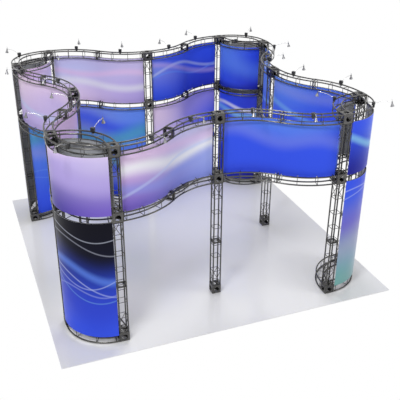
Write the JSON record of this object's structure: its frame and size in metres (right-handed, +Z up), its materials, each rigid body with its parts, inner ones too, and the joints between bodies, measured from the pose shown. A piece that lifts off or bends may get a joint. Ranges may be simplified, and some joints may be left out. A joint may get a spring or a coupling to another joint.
{
  "type": "trade show truss exhibit",
  "caption": "Free-standing walk-in exhibit of curved box truss: lens-shaped corner towers joined by S-curved walls with printed panels, and adjustable arm lights along the top ring",
  "frame": {"origin": "on the floor under the centre of the square plan", "axes": "+Z up, -Y towards the viewer at the front, +X to the viewer's right"},
  "size_m": [5.9564, 5.9564, 3.6367],
  "materials": {
    "truss_metal": "dark pewter-grey satin metal with bright highlights",
    "block_metal": "lighter grey satin metal",
    "bolt_steel": "zinc-plated steel",
    "printed_panel": "satin printed sheet in blues, violets and pinks",
    "clamp_black": "satin black",
    "housing_black": "satin black",
    "arm_metal": "thin silvery rod",
    "lamp_metal": "dark satin grey shade with a pale lamp in it"
  },
  "bodies": {
    "frame": {"junction_blocks_base": "block_metal", "junction_blocks_middle": "block_metal", "junction_blocks_top": "block_metal", "base_columns": "truss_metal", "middle_columns": "truss_metal", "upper_columns": "truss_metal", "wall_outer_trusses_base": "truss_metal", "wall_inner_trusses_base": "truss_metal", "tower_outer_trusses_base": "truss_metal", "tower_inner_trusses_base": "truss_metal", "wall_outer_trusses_middle": "truss_metal", "wall_inner_trusses_middle": "truss_metal", "tower_outer_trusses_middle": "truss_metal", "tower_inner_trusses_middle": "truss_metal", "wall_outer_trusses_top": "truss_metal", "wall_inner_trusses_top": "truss_metal", "tower_outer_trusses_top": "truss_metal", "tower_inner_trusses_top": "truss_metal", "wall_bolts": "bolt_steel", "tower_bolts": "bolt_steel", "column_bolts": "bolt_steel", "upper_wall_panels": "printed_panel", "lower_wall_panels": "printed_panel", "upper_tower_outer_panels": "printed_panel", "upper_tower_inner_panels": "printed_panel", "lower_tower_outer_panels": "printed_panel", "lower_tower_inner_panels": "printed_panel", "light_clamps": "clamp_black", "clamp_screws": "clamp_black", "transformer_housings": "housing_black", "lamp_arms": "arm_metal"},
    "lamp_head_01": {"lamp_head_01": "lamp_metal"},
    "lamp_head_02": {"lamp_head_02": "lamp_metal"},
    "lamp_head_03": {"lamp_head_03": "lamp_metal"},
    "lamp_head_04": {"lamp_head_04": "lamp_metal"},
    "lamp_head_05": {"lamp_head_05": "lamp_metal"},
    "lamp_head_06": {"lamp_head_06": "lamp_metal"},
    "lamp_head_07": {"lamp_head_07": "lamp_metal"},
    "lamp_head_08": {"lamp_head_08": "lamp_metal"},
    "lamp_head_09": {"lamp_head_09": "lamp_metal"},
    "lamp_head_10": {"lamp_head_10": "lamp_metal"},
    "lamp_head_11": {"lamp_head_11": "lamp_metal"},
    "lamp_head_12": {"lamp_head_12": "lamp_metal"},
    "lamp_head_13": {"lamp_head_13": "lamp_metal"},
    "lamp_head_14": {"lamp_head_14": "lamp_metal"},
    "lamp_head_15": {"lamp_head_15": "lamp_metal"},
    "lamp_head_16": {"lamp_head_16": "lamp_metal"},
    "lamp_head_17": {"lamp_head_17": "lamp_metal"},
    "lamp_head_18": {"lamp_head_18": "lamp_metal"},
    "lamp_head_19": {"lamp_head_19": "lamp_metal"},
    "lamp_head_20": {"lamp_head_20": "lamp_metal"},
    "lamp_head_21": {"lamp_head_21": "lamp_metal"},
    "lamp_head_22": {"lamp_head_22": "lamp_metal"},
    "lamp_head_23": {"lamp_head_23": "lamp_metal"},
    "lamp_head_24": {"lamp_head_24": "lamp_metal"}
  },
  "joints": [
    {"name": "head_tilt_01", "type": "hinge", "parent": "frame", "child": "lamp_head_01", "pos_m": [-1.23158, -2.93414, 3.591], "axis": [0.9239, 0.3827, 0], "range_deg": [-30, 45]},
    {"name": "head_tilt_02", "type": "hinge", "parent": "frame", "child": "lamp_head_02", "pos_m": [1.23158, -2.93414, 3.591], "axis": [0.9239, -0.3827, 0], "range_deg": [-30, 45]},
    {"name": "head_tilt_03", "type": "hinge", "parent": "frame", "child": "lamp_head_03", "pos_m": [-0.42376, -2.39438, 3.591], "axis": [0.9239, 0.3827, 0], "range_deg": [-30, 45]},
    {"name": "head_tilt_04", "type": "hinge", "parent": "frame", "child": "lamp_head_04", "pos_m": [0.42376, -2.39438, 3.591], "axis": [0.9239, -0.3827, 0], "range_deg": [-30, 45]},
    {"name": "head_tilt_05", "type": "hinge", "parent": "frame", "child": "lamp_head_05", "pos_m": [2.93414, -1.23158, 3.591], "axis": [-0.3827, 0.9239, 0], "range_deg": [-30, 45]},
    {"name": "head_tilt_06", "type": "hinge", "parent": "frame", "child": "lamp_head_06", "pos_m": [2.93414, 1.23158, 3.591], "axis": [0.3827, 0.9239, 0], "range_deg": [-30, 45]},
    {"name": "head_tilt_07", "type": "hinge", "parent": "frame", "child": "lamp_head_07", "pos_m": [2.39438, -0.42376, 3.591], "axis": [-0.3827, 0.9239, 0], "range_deg": [-30, 45]},
    {"name": "head_tilt_08", "type": "hinge", "parent": "frame", "child": "lamp_head_08", "pos_m": [2.39438, 0.42376, 3.591], "axis": [0.3827, 0.9239, 0], "range_deg": [-30, 45]},
    {"name": "head_tilt_09", "type": "hinge", "parent": "frame", "child": "lamp_head_09", "pos_m": [1.23158, 2.93414, 3.591], "axis": [-0.9239, -0.3827, 0], "range_deg": [-30, 45]},
    {"name": "head_tilt_10", "type": "hinge", "parent": "frame", "child": "lamp_head_10", "pos_m": [-1.23158, 2.93414, 3.591], "axis": [-0.9239, 0.3827, 0], "range_deg": [-30, 45]},
    {"name": "head_tilt_11", "type": "hinge", "parent": "frame", "child": "lamp_head_11", "pos_m": [0.42376, 2.39438, 3.591], "axis": [-0.9239, -0.3827, 0], "range_deg": [-30, 45]},
    {"name": "head_tilt_12", "type": "hinge", "parent": "frame", "child": "lamp_head_12", "pos_m": [-0.42376, 2.39438, 3.591], "axis": [-0.9239, 0.3827, 0], "range_deg": [-30, 45]},
    {"name": "head_tilt_13", "type": "hinge", "parent": "frame", "child": "lamp_head_13", "pos_m": [-2.93414, 1.23158, 3.591], "axis": [0.3827, -0.9239, 0], "range_deg": [-30, 45]},
    {"name": "head_tilt_14", "type": "hinge", "parent": "frame", "child": "lamp_head_14", "pos_m": [-2.93414, -1.23158, 3.591], "axis": [-0.3827, -0.9239, 0], "range_deg": [-30, 45]},
    {"name": "head_tilt_15", "type": "hinge", "parent": "frame", "child": "lamp_head_15", "pos_m": [-2.39438, 0.42376, 3.591], "axis": [0.3827, -0.9239, 0], "range_deg": [-30, 45]},
    {"name": "head_tilt_16", "type": "hinge", "parent": "frame", "child": "lamp_head_16", "pos_m": [-2.39438, -0.42376, 3.591], "axis": [-0.3827, -0.9239, 0], "range_deg": [-30, 45]},
    {"name": "head_tilt_17", "type": "hinge", "parent": "frame", "child": "lamp_head_17", "pos_m": [-2.75355, -2.75355, 3.591], "axis": [0.7071, -0.7071, 0], "range_deg": [-30, 45]},
    {"name": "head_tilt_18", "type": "hinge", "parent": "frame", "child": "lamp_head_18", "pos_m": [2.75355, -2.75355, 3.591], "axis": [0.7071, 0.7071, 0], "range_deg": [-30, 45]},
    {"name": "head_tilt_19", "type": "hinge", "parent": "frame", "child": "lamp_head_19", "pos_m": [2.75355, 2.75355, 3.591], "axis": [-0.7071, 0.7071, 0], "range_deg": [-30, 45]},
    {"name": "head_tilt_20", "type": "hinge", "parent": "frame", "child": "lamp_head_20", "pos_m": [-2.75355, 2.75355, 3.591], "axis": [-0.7071, -0.7071, 0], "range_deg": [-30, 45]},
    {"name": "head_tilt_21", "type": "hinge", "parent": "frame", "child": "lamp_head_21", "pos_m": [-1.87284, -1.87284, 3.591], "axis": [-0.7071, 0.7071, 0], "range_deg": [-30, 45]},
    {"name": "head_tilt_22", "type": "hinge", "parent": "frame", "child": "lamp_head_22", "pos_m": [1.87284, -1.87284, 3.591], "axis": [-0.7071, -0.7071, 0], "range_deg": [-30, 45]},
    {"name": "head_tilt_23", "type": "hinge", "parent": "frame", "child": "lamp_head_23", "pos_m": [1.87284, 1.87284, 3.591], "axis": [0.7071, -0.7071, 0], "range_deg": [-30, 45]},
    {"name": "head_tilt_24", "type": "hinge", "parent": "frame", "child": "lamp_head_24", "pos_m": [-1.87284, 1.87284, 3.591], "axis": [0.7071, 0.7071, 0], "range_deg": [-30, 45]}
  ]
}
